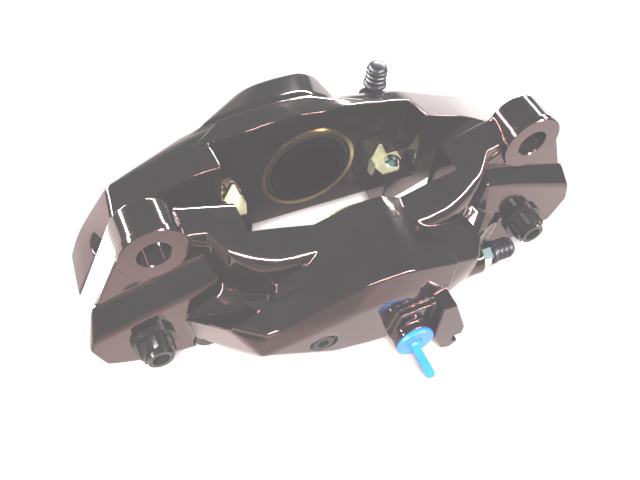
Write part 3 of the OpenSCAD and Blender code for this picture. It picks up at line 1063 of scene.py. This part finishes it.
for node, cad in nodes.items():
    dress(cad, FINISH[SLOTS[node]])

inboard = shade(inboard_casting())
outboard = shade(outboard_casting())
for piece, node in ((inboard, "inboard_half"), (outboard, "outboard_half")):
    dress(piece, PAINT)
    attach(piece, "caliper")
    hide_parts(node)

for side, axis in (("inboard", (1, 0, 0)), ("outboard", (0, 0, 1))):
    mouth = near_bleed_mouth() if side == "inboard" else far_bleed_mouth()
    cap = shade(ribbed_cap(side + "_cap_rubber", mouth, axis))
    dress(cap, FINISH["cap_rubber"])
    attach(cap, side + "_cap")
    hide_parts(side + "_bleed_cap")

plug = shade(transit_plug())
dress(plug, FINISH["blue_plastic"])
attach(plug, "plug")
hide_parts("inlet_plug")

for half in ("inboard", "outboard"):
    for end in ("left", "right"):
        node = half + "_" + end + "_abutment"
        side = -1 if end == "left" else 1
        sign = 1 if half == "inboard" else -1
        plate = shade(abutment_plate(node + "_strip", node, side, sign))
        dress(plate, FINISH["abutment_plate"])
        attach(plate, "caliper")
        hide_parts(node)


# ---- floor, light and camera --------------------------------------------------------------


def floor_piece():
    """Table top that curves up far behind, so no horizon line shows."""
    top = cad_box[0][2] / MM - 0.3
    half = 1500
    bend = 400
    rows = [(-half, top), (half, top)]
    for degrees in range(10, 91, 10):
        a = math.radians(degrees)
        rows.append((half + bend * math.sin(a), top + bend * (1 - math.cos(a))))
    bm = bmesh.new()
    pairs = [[bm.verts.new((x * MM, y * MM, z * MM)) for x in (-half, half)] for y, z in rows]
    for (a, b), (c, d) in zip(pairs, pairs[1:]):
        bm.faces.new((a, b, d, c))
    piece = bmesh_object("floor", bm)
    dress(piece, table_with_painted_light())
    return piece


def table_with_painted_light():
    """Pale table top with painted light: a painted shadow turns it near black in front of the caliper, and
    two painted pools of light make it paler beside it.
    """
    material, tree, shader = new_material("table_with_painted_light")
    where = tree.nodes.new("ShaderNodeTexCoord")
    painted_shadow_across = tree.nodes.new("ShaderNodeVectorMath")
    painted_shadow_across.operation = "DOT_PRODUCT"
    painted_shadow_across.inputs[1].default_value = (0.3, 1.0, 0.0)
    tree.links.new(where.outputs["Object"], painted_shadow_across.inputs[0])
    # Painted shadow: the table turns near black in front of the caliper, past a line across the floor.
    edge = tree.nodes.new("ShaderNodeMapRange")
    edge.inputs["From Min"].default_value = -0.17
    edge.inputs["From Max"].default_value = -0.15
    tree.links.new(painted_shadow_across.outputs["Value"], edge.inputs["Value"])
    level = edge.outputs["Result"]
    # Two painted pools of light: round paler patches on the table beside the caliper.
    for x, y, painted_light_gain in ((-0.1, -0.03, 0.55), (0.165, -0.045, 0.5)):
        away = tree.nodes.new("ShaderNodeVectorMath")
        away.operation = "DISTANCE"
        away.inputs[1].default_value = (x, y, cad_box[0][2])
        tree.links.new(where.outputs["Object"], away.inputs[0])
        painted_light_pool = tree.nodes.new("ShaderNodeMapRange")
        painted_light_pool.interpolation_type = "SMOOTHSTEP"
        painted_light_pool.inputs["From Min"].default_value = 0.075
        painted_light_pool.inputs["From Max"].default_value = 0.01
        painted_light_pool.inputs["To Max"].default_value = painted_light_gain
        tree.links.new(away.outputs["Value"], painted_light_pool.inputs["Value"])
        total = tree.nodes.new("ShaderNodeMath")
        total.operation = "ADD"
        tree.links.new(level, total.inputs[0])
        tree.links.new(painted_light_pool.outputs["Result"], total.inputs[1])
        level = total.outputs["Value"]
    painted_light_brightness = tree.nodes.new("ShaderNodeMapRange")
    painted_light_brightness.inputs["From Max"].default_value = 2.5
    painted_light_brightness.clamp = False
    tree.links.new(level, painted_light_brightness.inputs["Value"])
    # Near black in the painted shadow, pale on the rest of the table, paler still in the painted pools of
    # light.
    painted_shade_and_light_band = ramp(
        tree,
        painted_light_brightness.outputs["Result"],
        [(0.0, (0.015, 0.015, 0.015)), (0.4, (0.28, 0.235, 0.225)), (1.0, (0.78, 0.66, 0.63))],
    )
    mottle = ramp(tree, object_noise(tree, 30, 3), [(0.3, (0.96, 0.96, 0.96)), (0.7, (1, 1, 1))])
    mix = tree.nodes.new("ShaderNodeMix")
    mix.data_type = "RGBA"
    mix.blend_type = "MULTIPLY"
    mix.inputs["Factor"].default_value = 1.0
    tree.links.new(painted_shade_and_light_band, mix.inputs[6])
    tree.links.new(mottle, mix.inputs[7])
    tree.links.new(mix.outputs[2], shader.inputs["Base Color"])
    shader.inputs["Roughness"].default_value = 0.6
    return material


def soft_box(name, azimuth, elevation, distance, width, height, radiance, mirrored_in_paint=True):
    """Area light aimed at the caliper. azimuth turns from +X towards +Y, in degrees.

    A light that is mirrored in the paint only draws highlights; any other only lights dull surfaces.
    """
    a, e = math.radians(azimuth), math.radians(elevation)
    away = Vector((math.cos(a) * math.cos(e), math.sin(a) * math.cos(e), math.sin(e)))
    data = bpy.data.lights.new(name, "AREA")
    data.shape = "RECTANGLE"
    data.size, data.size_y = width, height
    data.energy = radiance * math.pi * width * height
    lamp = link_object(name, data)
    lamp.visible_glossy = mirrored_in_paint
    lamp.visible_diffuse = not mirrored_in_paint
    turn = away.to_track_quat("Z", "Y").to_matrix().to_4x4()
    lamp.matrix_world = Matrix.Translation(away * distance) @ turn


def camera():
    """Above and in front of the inboard half, looking down on the side towards the hub."""
    azimuth, elevation, roll = map(math.radians, (-30.5, 52.0, 7.7))
    level = math.cos(elevation)
    back = Vector((math.sin(azimuth) * level, -math.cos(azimuth) * level, math.sin(elevation)))
    right = (-back).cross(Vector((0, 0, 1))).normalized()
    up = right.cross(-back)
    right_rolled = right * math.cos(roll) + up * math.sin(roll)
    up_rolled = up * math.cos(roll) - right * math.sin(roll)
    turn = Matrix((right_rolled, up_rolled, back)).transposed().to_4x4()
    data = bpy.data.cameras.new("camera")
    data.sensor_width = 36.0
    data.lens = 45.5
    data.clip_start = 0.01
    eye = link_object("camera", data)
    place = Vector((-130.1, -193.2, 262.5)) * MM
    eye.matrix_world = Matrix.Translation(place) @ turn
    bpy.context.scene.camera = eye


def world():
    """Dim room, a little cool."""
    room = bpy.data.worlds.new("room")
    bpy.context.scene.world = room
    room.use_nodes = True
    tree = room.node_tree
    backdrop = tree.nodes["Background"]
    backdrop.inputs["Color"].default_value = (0.6, 0.97, 1.0, 1)
    backdrop.inputs["Strength"].default_value = 0.35


STRIP = 0.05                                # height in metres of the light strips that draw the edges

floor_piece()
camera()
world()
# name, azimuth, elevation, distance, width, height, radiance
soft_box("key", 239, 55, 1.5, 0.5, 0.5, 210, False)
soft_box("front_strip", -62, 31, 1.6, 2.0, STRIP, 800)
soft_box("left_strip", 178, 26, 1.6, 1.4, STRIP, 800)
soft_box("rear_left_strip", 135, 20, 1.6, 1.2, 2 * STRIP, 450)
soft_box("rear_right_strip", 45, 22, 1.6, 1.4, STRIP, 600)
view = bpy.context.scene.view_settings
view.view_transform = "Standard"
view.use_curve_mapping = True
view.curve_mapping.black_level = (-0.105, -0.099, -0.103)
view.curve_mapping.update()
